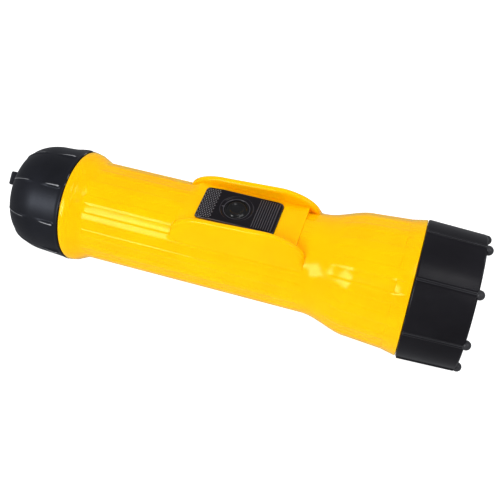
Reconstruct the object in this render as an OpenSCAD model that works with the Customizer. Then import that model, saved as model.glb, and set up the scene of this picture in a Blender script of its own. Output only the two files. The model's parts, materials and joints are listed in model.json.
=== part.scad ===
// Two-cell hand flashlight with a sliding switch between two guards.
// Every sub-part is drawn on the tube's own axis: x = 0 is the joint between
// the tail cap and the tube, and x grows towards the lens. seat() then moves
// it into the part's frame: +X to the lens, +Z to the switch, z = 0 under the
// lens ring, x = 0 at mid length.

/* [Tube] */
// Outer radius of the grip
grip_r = 20.5; // [20.3:0.1:20.7]
// Bore radius for the cells
bore_r = 17.6; // [17.4:0.1:17.8]
// Where the grip starts to widen into the head
bell_x = 102; // [101.5:0.5:102.5]
// Where the tube meets the lens ring
head_x = 142; // [141.8:0.1:142.2]
// Tube radius at the lens ring
head_r = 27.5; // [27.3:0.1:27.6]
// Radius of the flange at the tail cap
flange_r = 23.4; // [23.2:0.1:23.5]

/* [Lens ring] */
// Ring radius beside the tube
ring_r = 27.7; // [27.6:0.1:27.8]
// Ring radius at its front face
ring_front_r = 26.9; // [26.8:0.1:27.1]
// Front face of the ring
ring_front_x = 165.2; // [165:0.1:165.4]
// Clear radius in front of the lens
window_r = 22.5; // [22:0.1:23]
// Number of ribs round the ring
ring_ribs = 8; // [6:1:12]
// Angle of the first rib from the switch
ring_rib_turn = 14.5; // [14:0.5:15]

/* [Tail cap] */
// Cap radius beside the tube
cap_r = 23.3; // [23.1:0.1:23.4]
// Length of the cap
cap_len = 26.4; // [26.3:0.1:26.6]
// Number of ribs round the cap
cap_ribs = 9; // [6:1:12]
// Angle of the first cap rib from the switch
cap_rib_turn = 15; // [14:1:16]
// How far the hang lug stands out from the cap
lug_len = 8.9; // [8.7:0.1:9.1]
// Thickness of the hang lug
lug_t = 5.8; // [5.6:0.1:6]
// Width of the hang lug
lug_w = 14; // [13.5:0.5:14]
// Radius of the hole in the hang lug
lug_hole_r = 2.5; // [2.3:0.1:2.6]
// Angle of the hang lug's flat side from the switch
lug_turn = 52; // [50:1:54]

/* [Switch] */
// Length of the thumb plate
plate_len = 32.2; // [32:0.1:32.4]
// Width of the thumb plate
plate_w = 16.6; // [16.4:0.1:16.8]
// Top of the thumb plate above the axis
plate_top = 21.9; // [21.9:0.1:22]
// Middle of the signal button along the axis
button_x = 69.5; // [69.3:0.1:69.7]
// Radius of the signal button
button_r = 4.8; // [4.6:0.1:4.9]
// Travel of the thumb plate
switch_travel = 8; // [7:0.5:8]
// Top of the two guards above the axis, at the lens end
guard_top = 25.8; // [25.6:0.1:26]
// Thickness of each guard at its top
guard_t = 2.6; // [2.4:0.1:2.8]

/* [Hidden] */
$fn = 96;

// the part's frame
knob_r = 1.9;
knob_x = ring_front_x + 0.4;
x_low = -cap_len - lug_len;
x_high = knob_x + knob_r;
x_mid = (x_low + x_high) / 2;

// screw threads: plain ridges stand for the turns, with clearance between crests
pitch = 4;
tail_neck_len = 13;
tail_crest_r = 19.9;
tail_root_r = 19.3;
cap_crest_r = 20.15;
cap_root_r = 20.8;
front_neck_len = 13;
front_crest_r = 25.3;
front_root_r = 24.6;
ring_crest_r = 25.55;
ring_root_r = 26.2;

// head
bell_len = 19.5;
bell_r = 25.2;
collar_x = 136.2;
collar_r = 26.3;
head_bore_r = 23.3;
bell_steps = 10;

// light: a paraboloid r^2 = 4 f (x - apex)
focal = 3.8;
filament_x = 129;
apex_x = filament_x - focal;
mirror_hole_r = 6;
mirror_front_x = head_x + front_neck_len + 2.1;
shell = 1.4;
mirror_rim_t = 1.8;
socket_r = 8.4;
pack_r = 24.6;
lens_back_x = mirror_front_x + 1.2;
lens_t = 2.8;
lamp_flange_x = 122.6;
lamp_end_x = 107.6;

// cells
cell_r = 17;
cell_len = 61.5;
cell_front_x = lamp_end_x - 0.1;

// switch
pad_top = 20.6;
pad_w = 22.4;
pad_rear_x = 48;
pad_front_x = 96.5;
plate_x = button_x + 1.2;
pocket_floor = 19.5;
keel_len = 12.6;
keel_w = 12;
stem_len = 7;
stem_w = 4;
groove_w = 6.4;
groove_top = 18.5;
strip_w = 5.2;
strip_t = 0.4;
strip_top = groove_top - 0.05;
bridge_len = 24;
strip_front_x = 113.5;
rivet_x = [8, 45, 92, 108];

module seat() translate([-x_mid, 0, ring_r]) children();

// turn a shape drawn along Z so that it lies along X
module on_axis() rotate([0, 90, 0]) children();

// spin an outline of [radius, x] points round the axis
module spin(outline) on_axis() rotate_extrude() polygon(outline);

// move a shape from above the axis round to an angle from the switch
module around(turn) rotate([-turn, 0, 0]) children();

module rod(r, x0, x1) translate([x0, 0, 0]) on_axis() cylinder(r = r, h = x1 - x0);

module tube(r_out, r_in, x0, x1) difference() {
    rod(r_out, x0, x1);
    rod(r_in, x0 - 1, x1 + 1);
}

// a plain block centred on y = 0
module block(x0, x1, w, z0, z1) translate([x0, -w / 2, z0]) cube([x1 - x0, w, z1 - z0]);

function ease(t) = t * t * (3 - 2 * t);

// ridges of a thread between two x values, as [radius, x] points
function ridges(x0, count, root, crest) = [for (i = [0:count - 1], c = [0:3])
    [c == 0 || c == 3 ? root : crest, x0 + i * pitch + [0.3, 1, 2, 2.7][c]]];

bell = [for (i = [0:bell_steps]) let (t = i / bell_steps)
    [grip_r + (bell_r - grip_r) * ease(t), bell_x + bell_len * t]];

bell_bore = [for (i = [bell_steps:-1:0]) let (t = i / bell_steps)
    [bore_r + (head_bore_r - bore_r) * ease(t), bell_x + 3 + bell_len * t]];

module body_shell() spin(concat(
    [[bore_r, -tail_neck_len], [tail_root_r, -tail_neck_len]],
    ridges(-tail_neck_len + 1, 2, tail_root_r, tail_crest_r),
    [[tail_root_r, 0], [flange_r - 0.4, 0], [flange_r, 0.4], [flange_r - 0.7, 3.6],
     [grip_r + 0.3, 7], [grip_r, 8]],
    bell,
    [[collar_r, collar_x], [head_r, head_x], [front_root_r, head_x]],
    ridges(head_x + 2, 2, front_root_r, front_crest_r),
    [[front_root_r, head_x + front_neck_len], [head_bore_r, head_x + front_neck_len]],
    bell_bore));

// side view of a guard: a long low arch that rises a little towards the lens
guard_rear_x = 46.2;
guard_front_x = 100.8;
guard_foot = 14;
guard_rise = 1.6;
shoulder_rear = [15.5, 8.6];
shoulder_front = [16.6, 10];
guard_side = concat(
    [[guard_front_x, guard_foot]],
    [for (a = [0:10:90]) [guard_front_x - shoulder_front[0] * (1 - cos(a)),
        guard_top - shoulder_front[1] * (1 - sin(a))]],
    [for (a = [90:10:180]) [guard_rear_x + shoulder_rear[0] * (1 + cos(a)),
        guard_top - guard_rise - shoulder_rear[1] * (1 - sin(a))]],
    [[guard_rear_x, guard_foot]]);

// cross-section of a guard: upright inside, round on top, sloping down outside
guard_inner_y = 10.55;
guard_section = concat([[guard_inner_y, guard_foot - 4], [17, guard_foot - 4], [15.8, 13.2]],
    [for (a = [10:20:170]) [guard_inner_y + guard_t / 2 * (1 + cos(a)),
        guard_top - guard_t / 2 * (1 - sin(a))]]);

module guard() intersection() {
    translate([guard_rear_x, 0, 0]) rotate([90, 0, 90])
        linear_extrude(guard_front_x - guard_rear_x) polygon(guard_section);
    translate([0, 20, 0]) rotate([90, 0, 0]) linear_extrude(20) polygon(guard_side);
}

module body() color("gold") seat() difference() {
    union() {
        body_shell();
        intersection() {
            union() {
                guard();
                mirror([0, 1, 0]) guard();
                block(pad_rear_x, pad_front_x, pad_w, 14, pad_top);
            }
            difference() {
                block(0, 110, 60, 0, 40);
                rod(bore_r + 0.8, -1, 120);
            }
        }
    }
    block(-tail_neck_len - 1, strip_front_x + 0.5, groove_w, 10, groove_top);
    block(button_x - keel_len / 2 - 0.3, button_x + keel_len / 2 + switch_travel + 0.3,
        keel_w + 0.6, pocket_floor, pad_top + 1);
    block(button_x - stem_len / 2 - 0.3, button_x + stem_len / 2 + switch_travel + 0.3,
        stem_w + 0.6, 16, pad_top);
    for (x = rivet_x) translate([x, 0, 17]) cylinder(r = 0.95, h = 2.7, $fn = 32);
}

// ---- lens ring and what it holds ----

module ring_rib() {
    rotate([90, 0, 0]) translate([0, 0, -0.6]) linear_extrude(1.2)
        polygon([[head_x + 0.8, ring_crest_r + 1], [head_x + 0.8, ring_r],
            [head_x + 1.6, ring_r + 0.5], [ring_front_x, ring_front_r + 0.6],
            [ring_front_x, ring_crest_r - 1]]);
    translate([knob_x, 0, ring_front_r + 0.5 - knob_r]) sphere(r = knob_r, $fn = 32);
}

module lens_ring() color("dimgray") seat() {
    spin(concat(
        [[ring_r - 0.4, head_x + 0.2], [ring_r, head_x + 0.7],
         [ring_front_r, ring_front_x - 0.6], [ring_front_r - 0.6, ring_front_x],
         [window_r + 0.8, ring_front_x], [window_r, lens_back_x + lens_t + 0.8],
         [window_r, lens_back_x + lens_t + 0.1], [ring_crest_r, lens_back_x + lens_t + 0.1],
         [ring_crest_r, head_x + 14]],
        [for (i = [1:-1:0]) for (p = [[ring_root_r, 3.4], [ring_root_r, 0.6]])
            [p[0], head_x + 4 + i * pitch + p[1]]],
        [[ring_crest_r, head_x + 4.4], [ring_crest_r, head_x + 3.4],
         [ring_r - 1, head_x + 3], [ring_r - 1, head_x + 0.2]]));
    for (i = [0:ring_ribs - 1]) around(ring_rib_turn + i * 360 / ring_ribs) ring_rib();
}

module o_ring(x, r_mid, r_cord) color("black") on_axis()
    rotate_extrude() translate([r_mid, x]) circle(r = r_cord, $fn = 32);

module head_seal() seat() o_ring(head_x + 1.05, front_root_r + 0.85, 0.8);

module lens() color("lightcyan", 0.4) seat() spin([[0, lens_back_x], [pack_r, lens_back_x],
    [pack_r, lens_back_x + lens_t - 0.3], [pack_r - 0.3, lens_back_x + lens_t],
    [0, lens_back_x + lens_t]]);

module lens_gasket() color("black") seat()
    tube(pack_r, window_r - 0.3, mirror_front_x, lens_back_x);

// radius of the mirror at x, and its points from the lamp hole to the front
function mirror_radius(x) = sqrt(4 * focal * (x - apex_x));
mirror_hole_x = apex_x + pow(mirror_hole_r, 2) / (4 * focal);
mirror_steps = 14;
mirror_curve = [for (i = [0:mirror_steps]) let (t = i / mirror_steps,
    x = mirror_hole_x + (mirror_front_x - mirror_hole_x) * t * t) [mirror_radius(x), x]];

module reflector() color("silver") seat() spin(concat(
    mirror_curve,
    [[pack_r, mirror_front_x], [pack_r, mirror_front_x - mirror_rim_t],
     [head_bore_r - 0.5, mirror_front_x - mirror_rim_t]],
    [for (i = [mirror_steps - 1:-1:4]) [mirror_curve[i][0] + shell, mirror_curve[i][1] - 0.8]],
    [[socket_r, mirror_hole_x + 0.6], [socket_r, lamp_flange_x + 1.1],
     [mirror_hole_r, lamp_flange_x + 1.1]]));

module lamp_glass() color("white", 0.4) seat() difference() {
    spin(concat([[0, lamp_flange_x + 0.6], [4.2, lamp_flange_x + 0.6]],
        [for (a = [-40:10:90]) [5.5 * cos(a), filament_x + 0.2 + 5.5 * sin(a)]]));
    spin(concat([[0, lamp_flange_x + 2.2], [3.4, lamp_flange_x + 2.2]],
        [for (a = [-40:10:90]) [4.9 * cos(a), filament_x + 0.2 + 4.9 * sin(a)]]));
}

module lamp_filament() color("darkgray") seat() {
    for (side = [-1, 1]) translate([lamp_flange_x + 2.4, side * 1.6, 0])
        on_axis() cylinder(r = 0.25, h = filament_x - lamp_flange_x - 2.2, $fn = 16);
    translate([filament_x, 1.9, 0]) rotate([90, 0, 0]) cylinder(r = 0.3, h = 3.8, $fn = 16);
    translate([lamp_flange_x + 4, 1.6, 0]) rotate([90, 0, 0]) cylinder(r = 0.7, h = 3.2, $fn = 16);
}

module lamp_base() color("goldenrod") seat() spin([[4.7, lamp_flange_x], [6.7, lamp_flange_x],
    [6.7, lamp_flange_x + 0.55], [4.25, lamp_flange_x + 0.55], [4.25, lamp_end_x + 2.4],
    [4.7, lamp_end_x + 1.8]]);

module lamp_tip() color("darkslategray") seat() spin([[0, lamp_end_x], [1.6, lamp_end_x],
    [1.9, lamp_end_x + 0.8], [4.15, lamp_end_x + 2], [4.15, lamp_end_x + 4.5],
    [0, lamp_end_x + 4.5]]);

module lamp_retainer() color("dimgray") seat() difference() {
    union() {
        spin([[4.8, lamp_flange_x - 9], [9.2, lamp_flange_x - 9], [10.2, lamp_flange_x - 8],
            [10.2, lamp_flange_x + 4], [8.5, lamp_flange_x + 4], [8.5, lamp_flange_x - 0.65],
            [4.8, lamp_flange_x - 0.65]]);
        for (i = [0:7]) around(22.5 + i * 45)
            block(lamp_flange_x - 7.5, lamp_flange_x + 3.5, 1.4, 9.8, 10.9);
    }
    block(finger_x - 0.2, finger_x + finger_t + 0.2, finger_w + 0.4, 7, 12);
}

// washer under the lamp's flange, with a finger out to a tab beside the front strip
finger_x = lamp_flange_x - 0.6;
finger_t = 0.55;
finger_w = 3;
tab_x = 111;
tab_z = 17.35;
tab_t = 0.4;
module lamp_contact() color("peru") seat() {
    tube(socket_r, 4.8, finger_x, finger_x + finger_t);
    block(finger_x, finger_x + finger_t, finger_w, 7.8, tab_z + tab_t);
    block(tab_x, finger_x + finger_t, finger_w, tab_z, tab_z + tab_t);
}

// ---- tail cap and what it holds ----

// outside of the cap: a slight taper, an elliptical shoulder and a flat end
shoulder_x = 11.6;
shoulder_r = 22.65;
end_r = 13.4;
cap_outline = concat([[cap_r - 0.4, -0.2], [cap_r, -0.6]],
    [for (a = [0:9:90]) [end_r + (shoulder_r - end_r) * cos(a),
        -shoulder_x - (cap_len - shoulder_x) * sin(a)]],
    [[0, -cap_len]]);

// radius of the cap's shoulder at x
function shoulder_at(x) = end_r + (shoulder_r - end_r)
    * sqrt(1 - pow((-x - shoulder_x) / (cap_len - shoulder_x), 2));

// a short blunt ridge, and its faint run over the shoulder
module cap_rib() {
    rotate([90, 0, 0]) translate([0, 0, -0.7]) linear_extrude(1.4)
        polygon([[-2.1, 21.5], [-2.1, 23.4], [-2.6, 23.8], [-7, 23.5], [-12, 22.4], [-12, 21.5]]);
    rotate([90, 0, 0]) translate([0, 0, -1.1]) linear_extrude(2.2)
        polygon(concat([[-16, 20.4]], [for (x = [-16:-1.6:-25.6]) [x, shoulder_at(x) + 0.45]],
            [[-25.8, 14], [-21, 18]]));
}

// half-round tab with a cross hole, offset to one side of the axis
lug_side = 1.3;
lug_root = 1;
lug_wall = 2.5;
lug_hole_x = -cap_len - lug_len + lug_wall + lug_hole_r;

module hang_lug() around(lug_turn) difference() {
    translate([-cap_len, 0, lug_side]) linear_extrude(lug_t) intersection() {
        union() {
            translate([lug_w / 2 - lug_len, 0]) circle(r = lug_w / 2);
            translate([lug_w / 2 - lug_len, -lug_w / 2]) square([lug_len, lug_w]);
        }
        translate([-lug_len, -lug_w / 2]) square([lug_len + lug_root, lug_w]);
    }
    translate([lug_hole_x, 0, 0]) cylinder(r = lug_hole_r, h = lug_side + lug_t + 1, $fn = 48);
}

module tail_cap() color("dimgray") seat() {
    spin(concat(cap_outline,
        [[0, -23.9], [11, -23.9], [15, -22.8], [18.2, -20], [19.6, -16.5], [19.6, -14.6],
         [cap_crest_r, -14.2], [cap_crest_r, -11.8], [cap_root_r, -11.2], [cap_root_r, -8.8],
         [cap_crest_r, -8.2], [cap_crest_r, -7.8], [cap_root_r, -7.2], [cap_root_r, -4.8],
         [cap_crest_r, -4.2], [cap_crest_r, -3.3], [21.4, -2.9], [21.4, -0.2]]));
    for (i = [0:cap_ribs - 1]) around(cap_rib_turn + i * 360 / cap_ribs) cap_rib();
    hang_lug();
}

module tail_seal() seat() o_ring(-1.1, tail_root_r + 0.85, 0.8);

module tail_contact() color("lightgray") seat() spin([[0, -23.7], [10.8, -23.7], [14.6, -22.6],
    [17.8, -19.8], [19.2, -16.4], [19.2, -14.1], [17.9, -14.1], [17.9, -14.6], [18.7, -14.6],
    [18.7, -16.3], [17.4, -19.5], [14.4, -22.1], [10.7, -23.2], [0, -23.2]]);

// conical coil spring as a swept round wire
spring_turns = 3;
spring_rings = 60;
spring_sides = 8;
spring_wire_r = 0.6;
spring_x0 = -22.5;
spring_x1 = -16.45;
function spring_at(t) = let (a = 360 * spring_turns * t, r = 10.5 - 4 * t,
    x = spring_x0 + (spring_x1 - spring_x0) * t) [x, r * cos(a), r * sin(a)];
function spring_ring(t) = let (a = 360 * spring_turns * t) [for (k = [0:spring_sides - 1])
    let (b = 360 * k / spring_sides) spring_at(t) + spring_wire_r * [sin(b), cos(b) * cos(a),
    cos(b) * sin(a)]];
spring_points = [for (i = [0:spring_rings]) for (p = spring_ring(i / spring_rings)) p];
spring_faces = concat([[for (k = [0:spring_sides - 1]) k]],
    [[for (k = [spring_sides - 1:-1:0]) spring_rings * spring_sides + k]],
    [for (i = [0:spring_rings - 1], k = [0:spring_sides - 1]) let (j = (k + 1) % spring_sides,
        a = i * spring_sides, b = a + spring_sides)
        each [[a + k, b + k, a + j], [a + j, b + k, b + j]]]);

module tail_spring() color("silver") seat()
    polyhedron(points = spring_points, faces = spring_faces);

// ---- switch ----

plate_rear_x = plate_x - plate_len / 2;
plate_front_x = plate_x + plate_len / 2;
plate_bottom = pad_top + 0.15;
keel_bottom = pocket_floor + 0.2;
keel_floor = keel_bottom + 0.4;
button_top = plate_top + 0.1;
button_bottom = 21;

module switch_plate() color("dimgray") seat() difference() {
    union() {
        translate([plate_x, 0, plate_bottom]) linear_extrude(plate_top - plate_bottom)
            offset(r = 1.5, $fn = 24) square([plate_len - 3, plate_w - 3], center = true);
        block(button_x - keel_len / 2, button_x + keel_len / 2, keel_w, keel_bottom, plate_bottom);
        block(button_x - stem_len / 2, button_x + stem_len / 2, stem_w, 18, keel_bottom);
        for (i = [0:5]) block(plate_front_x - 9.4 + i * 1.5, plate_front_x - 8.7 + i * 1.5,
            plate_w - 3, plate_bottom, plate_top + 0.2);
        for (i = [0:5]) block(plate_rear_x + 1.2 + i * 1.5, plate_rear_x + 1.9 + i * 1.5,
            plate_w - 3, plate_bottom, plate_top + 0.2);
    }
    translate([button_x, 0, keel_floor]) cylinder(r = button_r + 0.1, h = 4);
}

module signal_button() color("black") seat() translate([button_x, 0, button_bottom])
    cylinder(r = button_r, h = button_top - button_bottom);

module button_dome() color("silver") seat() translate([button_x, 0, keel_floor])
    rotate_extrude() polygon([[4.4, 0], [4.1, 0.3], [3, 0.6], [1.5, 0.8], [0, 0.85],
        [0, 0.65], [1.5, 0.6], [3, 0.4], [3.9, 0.15], [4, 0]]);

module switch_contact() color("peru") seat()
    block(button_x - stem_len / 2 - 12, button_x - stem_len / 2 - 12 + bridge_len,
        strip_w, 17.7, 17.95);

module strip(x0, x1) difference() {
    block(x0, x1, strip_w, strip_top - strip_t, strip_top);
    for (x = rivet_x) translate([x, 0, 17]) cylinder(r = 0.95, h = 3, $fn = 32);
}

module rear_strip() color("peru") seat() {
    strip(-tail_neck_len, button_x - stem_len / 2 - 0.6);
    block(-tail_neck_len - 0.6, -tail_neck_len, strip_w, 17.75, strip_top);
}

module front_strip() color("peru") seat()
    strip(button_x + stem_len / 2 + switch_travel + 0.6, strip_front_x);

module strip_rivets() color("goldenrod") seat() for (x = rivet_x) translate([x, 0, 0]) {
    translate([0, 0, 17.7]) cylinder(r = 0.9, h = 1.9, $fn = 32);
    translate([0, 0, 17.7]) cylinder(r = 1.7, h = 0.3, $fn = 32);
}

// ---- cells ----

terminal_r = 4.7;
terminal_len = 1.5;

module cell_jacket(front) color("steelblue") seat()
    tube(cell_r, cell_r - 0.3, front - cell_len + 0.8, front - terminal_len - 0.4);

// the can's wall is thick enough to weigh what the whole cell weighs
module cell_can(front) color("lightgray") seat() difference() {
    rod(cell_r - 0.35, front - cell_len + 0.5, front - terminal_len - 0.5);
    rod(cell_r - 3, front - cell_len - 1, front - terminal_len - 1.5);
}

module cell_terminal(front) color("silver") seat() spin([[0, front], [terminal_r - 0.4, front],
    [terminal_r, front - 0.4], [terminal_r, front - terminal_len], [10, front - terminal_len - 0.1],
    [10, front - terminal_len - 0.45], [0, front - terminal_len - 0.45]]);

module cell_base(front) color("silver") seat() spin([[0, front - cell_len + 0.05],
    [9, front - cell_len + 0.05], [9, front - cell_len + 0.45], [0, front - cell_len + 0.45]]);

module front_cell_jacket() cell_jacket(cell_front_x);
module front_cell_can() cell_can(cell_front_x);
module front_cell_terminal() cell_terminal(cell_front_x);
module front_cell_base() cell_base(cell_front_x);
module rear_cell_jacket() cell_jacket(cell_front_x - cell_len);
module rear_cell_can() cell_can(cell_front_x - cell_len);
module rear_cell_terminal() cell_terminal(cell_front_x - cell_len);
module rear_cell_base() cell_base(cell_front_x - cell_len);

body();
lens_ring();
head_seal();
lens();
lens_gasket();
reflector();
lamp_glass();
lamp_filament();
lamp_base();
lamp_tip();
lamp_retainer();
lamp_contact();
tail_cap();
tail_seal();
tail_contact();
tail_spring();
switch_plate();
signal_button();
button_dome();
switch_contact();
rear_strip();
front_strip();
strip_rivets();
front_cell_jacket();
front_cell_can();
front_cell_terminal();
front_cell_base();
rear_cell_jacket();
rear_cell_can();
rear_cell_terminal();
rear_cell_base();
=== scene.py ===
"""Looks of a two-cell hand flashlight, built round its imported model.

Lengths are millimetres on the tube's own axis: x is measured from the joint between the tail
cap and the tube and grows towards the lens, y and z are measured from the axis, and a turn is
an angle in degrees from the switch (+Z) towards +Y. at() turns them into the frame's metres.
"""

import json
import math

import bmesh
import bpy
from mathutils import Matrix, Vector


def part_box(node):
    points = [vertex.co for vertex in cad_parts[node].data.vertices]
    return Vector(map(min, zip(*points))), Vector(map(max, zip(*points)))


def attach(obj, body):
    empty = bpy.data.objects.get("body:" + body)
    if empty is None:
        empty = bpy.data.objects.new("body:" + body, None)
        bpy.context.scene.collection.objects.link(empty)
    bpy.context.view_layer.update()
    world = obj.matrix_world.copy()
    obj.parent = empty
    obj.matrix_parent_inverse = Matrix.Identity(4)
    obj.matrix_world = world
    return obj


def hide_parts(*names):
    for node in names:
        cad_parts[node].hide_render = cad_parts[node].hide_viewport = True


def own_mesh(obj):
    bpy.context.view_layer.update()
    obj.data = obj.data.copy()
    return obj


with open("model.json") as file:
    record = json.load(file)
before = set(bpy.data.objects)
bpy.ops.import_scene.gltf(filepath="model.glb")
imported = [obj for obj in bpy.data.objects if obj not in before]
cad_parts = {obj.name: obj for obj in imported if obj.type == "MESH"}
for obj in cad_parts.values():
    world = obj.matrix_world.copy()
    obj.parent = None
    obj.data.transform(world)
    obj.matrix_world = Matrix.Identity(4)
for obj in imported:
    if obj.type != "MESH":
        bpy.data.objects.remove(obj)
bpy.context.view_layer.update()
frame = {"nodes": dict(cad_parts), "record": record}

MM = 0.001
NECK_LEN = 13.0
AXIS_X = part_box("body")[0].x + NECK_LEN * MM
AXIS_Z = (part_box("lens")[0].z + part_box("lens")[1].z) / 2


def along(x_m):
    """A place on the axis in millimetres, from the frame's metres."""
    return (x_m - AXIS_X) / MM


# ---- driving dimensions, from the frame where it holds them ----

HEAD_X = along(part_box("body")[1].x) - NECK_LEN
RING_KNOB_R = 1.9
RING_KNOB_OUT = 0.4
RING_FRONT_X = along(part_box("lens_ring")[1].x) - RING_KNOB_R - RING_KNOB_OUT
LENS_BACK_X = along(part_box("lens")[0].x)
LENS_FRONT_X = along(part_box("lens")[1].x)
LENS_R = (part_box("lens")[1].z - AXIS_Z) / MM
TAIL_X = along(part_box("tail_cap")[0].x)
PLATE_X0 = along(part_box("switch_plate")[0].x)
PLATE_X1 = along(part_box("switch_plate")[1].x)
BUTTON_X = along((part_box("signal_button")[0].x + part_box("signal_button")[1].x) / 2)
BUTTON_TOP = (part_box("signal_button")[1].z - AXIS_Z) / MM
BUTTON_BOTTOM = (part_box("signal_button")[0].z - AXIS_Z) / MM

GRIP_R = 20.5
BORE_R = 17.6
BORE_LAG = 3
BELL_X = 102.0
BELL_LEN = 19.5
BELL_R = 25.2
COLLAR_X = HEAD_X - 5.8
COLLAR_R = 26.3
HEAD_R = 27.5
HEAD_BORE_R = 23.3
FLANGE_R = 23.4
FLANGE_EDGE_X = 3.6
FLANGE_FOOT_X = 9
TAIL_ROOT_R = 19.3
TAIL_CREST_R = 19.9
FRONT_ROOT_R = 24.6
FRONT_CREST_R = 25.3
PITCH = 4.0
THREAD_TURNS = 2
THREAD_MARKS = (0.3, 1.0, 2.0, 2.7)
NECK_BEVEL = 0.3

FLUTES = 18
FLUTE_DEPTH = 0.24
FLUTE_HALF = 5.4
FLUTE_EDGE = 2.6
FLUTE_GRIP = (8.2, 1.5, 99, 4)
FLUTE_BELL = (110, 3)

GUARD_REAR_X = 46.2
GUARD_FRONT_X = 100.8
GUARD_TOP = 25.8
GUARD_RISE = 1.6
GUARD_T = 2.6
GUARD_INNER_Y = 10.55
GUARD_FOOT_TURN = 51.0
GUARD_STEP = 0.6
GUARD_BOW = 0.35
GUARD_BOW_RISE = 0.6
GUARD_PROUD = 0.02
SHOULDER_REAR = (15.5, 8.6)
SHOULDER_FRONT = (16.6, 10.0)
PAD_TOP = 20.6
PAD_RAMP = 6.0
PAD_FRONT_X = 96.5
TRAVEL = 8.0


# ---- geometry helpers ----

SHARP_TURN = 38
WELD = 1e-7
TINY = 1e-6
FAR = 1e6


def at(x, y, z):
    """A place in the frame's metres."""
    return Vector((AXIS_X + x * MM, y * MM, AXIS_Z + z * MM))


def polar(x, turn, radius):
    """A place at a turn round the axis."""
    a = math.radians(turn)
    return at(x, radius * math.sin(a), radius * math.cos(a))


def spun(x, out, across, turn):
    """A place out from the axis in the direction of a turn, and across that direction."""
    a = math.radians(turn)
    return at(x, out * math.sin(a) + across * math.cos(a),
              out * math.cos(a) - across * math.sin(a))


def ease(t):
    """A smooth step from 0 to 1."""
    t = min(1.0, max(0.0, t))
    return t * t * (3 - 2 * t)


def band(x, height, start, rise, end, fall):
    """A smooth rise to a height from start on, and a smooth fall from end on."""
    return height * ease((x - start) / rise) * (1 - ease((x - end) / fall))


def mix(a, b, t):
    return a + (b - a) * t


def spread(start, end, count):
    """count values from start to end, both included."""
    return [mix(start, end, i / (count - 1)) for i in range(count)]


def soften(outline, cut, steps=3):
    """Rounds each corner of a closed outline with a short curve that starts cut away from it."""
    points = [Vector(p) for p in outline]
    out = []
    for i, p in enumerate(points):
        back, ahead = points[i - 1] - p, points[(i + 1) % len(points)] - p
        start = p + back.normalized() * min(cut, back.length * 0.4)
        end = p + ahead.normalized() * min(cut, ahead.length * 0.4)
        for k in range(steps + 1):
            t = k / steps
            out.append(start * (1 - t) ** 2 + p * 2 * t * (1 - t) + end * t * t)
    return out


def add_object(name, bm):
    """Puts a built mesh into the scene."""
    mesh = bpy.data.meshes.new(name)
    bm.to_mesh(mesh)
    bm.free()
    thing = bpy.data.objects.new(name, mesh)
    bpy.context.scene.collection.objects.link(thing)
    return thing


def shade(mesh, sharp=SHARP_TURN):
    """Smooth faces, apart from edges where they meet at more than sharp degrees."""
    mesh.shade_smooth()
    mesh.set_sharp_from_angle(angle=math.radians(sharp))


def finish_mesh(name, bm, material, body, sharp=SHARP_TURN):
    """Cleans a mesh, shades it and makes it a piece that rides on a body."""
    bmesh.ops.remove_doubles(bm, verts=bm.verts, dist=WELD)
    bmesh.ops.dissolve_degenerate(bm, dist=WELD, edges=bm.edges)
    bmesh.ops.recalc_face_normals(bm, faces=bm.faces)
    piece = add_object(name, bm)
    shade(piece.data, sharp)
    piece.data.materials.append(material)
    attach(piece, body)
    return piece


def add_loft(bm, rings, ends="join"):
    """Skins rings of equal length. ends: join the last to the first, or cap both."""
    rows = [[bm.verts.new(p) for p in ring] for ring in rings]
    count = len(rows[0])
    pairs = list(zip(rows, rows[1:]))
    if ends == "join":
        pairs.append((rows[-1], rows[0]))
    for a, b in pairs:
        for i in range(count):
            j = (i + 1) % count
            bm.faces.new((a[i], a[j], b[j], b[i]))
    if ends == "cap":
        bm.faces.new(rows[0])
        bm.faces.new(list(reversed(rows[-1])))


def lathe_rings(outline, turns):
    """Rings round the axis from an outline of (radius, x) points."""
    return [[polar(x, turn, r) for turn in turns] for r, x in outline]


def even_turns(count):
    """Turns spaced evenly all the way round."""
    return [360 * i / count for i in range(count)]


def thread(start, root, crest):
    """Outline of a thread's turns, as (x, radius) stations."""
    ridge = list(zip(THREAD_MARKS, (root, crest, crest, root)))
    return [(start + i * PITCH + d, r) for i in range(THREAD_TURNS) for d, r in ridge]


# ---- materials ----

TONE_PLACES = (0.3, 0.7)
GLOSS_PATCH = 4
GRAIN_DETAIL = 2.0
# Pointiness range over which edges take the paler colour: painted highlight, partly rubbed wear
WEAR_HIGHLIGHT_FROM = 0.519
WEAR_HIGHLIGHT_TO = 0.532


def noise(tree, scale, detail=3.0):
    """A noise that stays with the object. scale is per metre."""
    coords = tree.nodes.new("ShaderNodeTexCoord")
    node = tree.nodes.new("ShaderNodeTexNoise")
    node.inputs["Scale"].default_value = scale
    node.inputs["Detail"].default_value = detail
    tree.links.new(coords.outputs["Object"], node.inputs["Vector"])
    return node.outputs["Fac"]


def add_wear_and_highlight(tree, colour, wear_and_highlight):
    """Mixes a paler colour in along the edges that stand out, a painted highlight that is partly
    rubbed wear. Returns the colour to use.
    """
    curve = tree.nodes.new("ShaderNodeNewGeometry")
    edge = tree.nodes.new("ShaderNodeMapRange")
    edge.inputs["From Min"].default_value = WEAR_HIGHLIGHT_FROM
    edge.inputs["From Max"].default_value = WEAR_HIGHLIGHT_TO
    tree.links.new(curve.outputs["Pointiness"], edge.inputs["Value"])
    blend = tree.nodes.new("ShaderNodeMix")
    blend.data_type = "RGBA"
    tree.links.new(edge.outputs["Result"], blend.inputs["Factor"])
    tree.links.new(colour, blend.inputs[6])
    blend.inputs[7].default_value = (*wear_and_highlight, 1)
    return blend.outputs[2]


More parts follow.
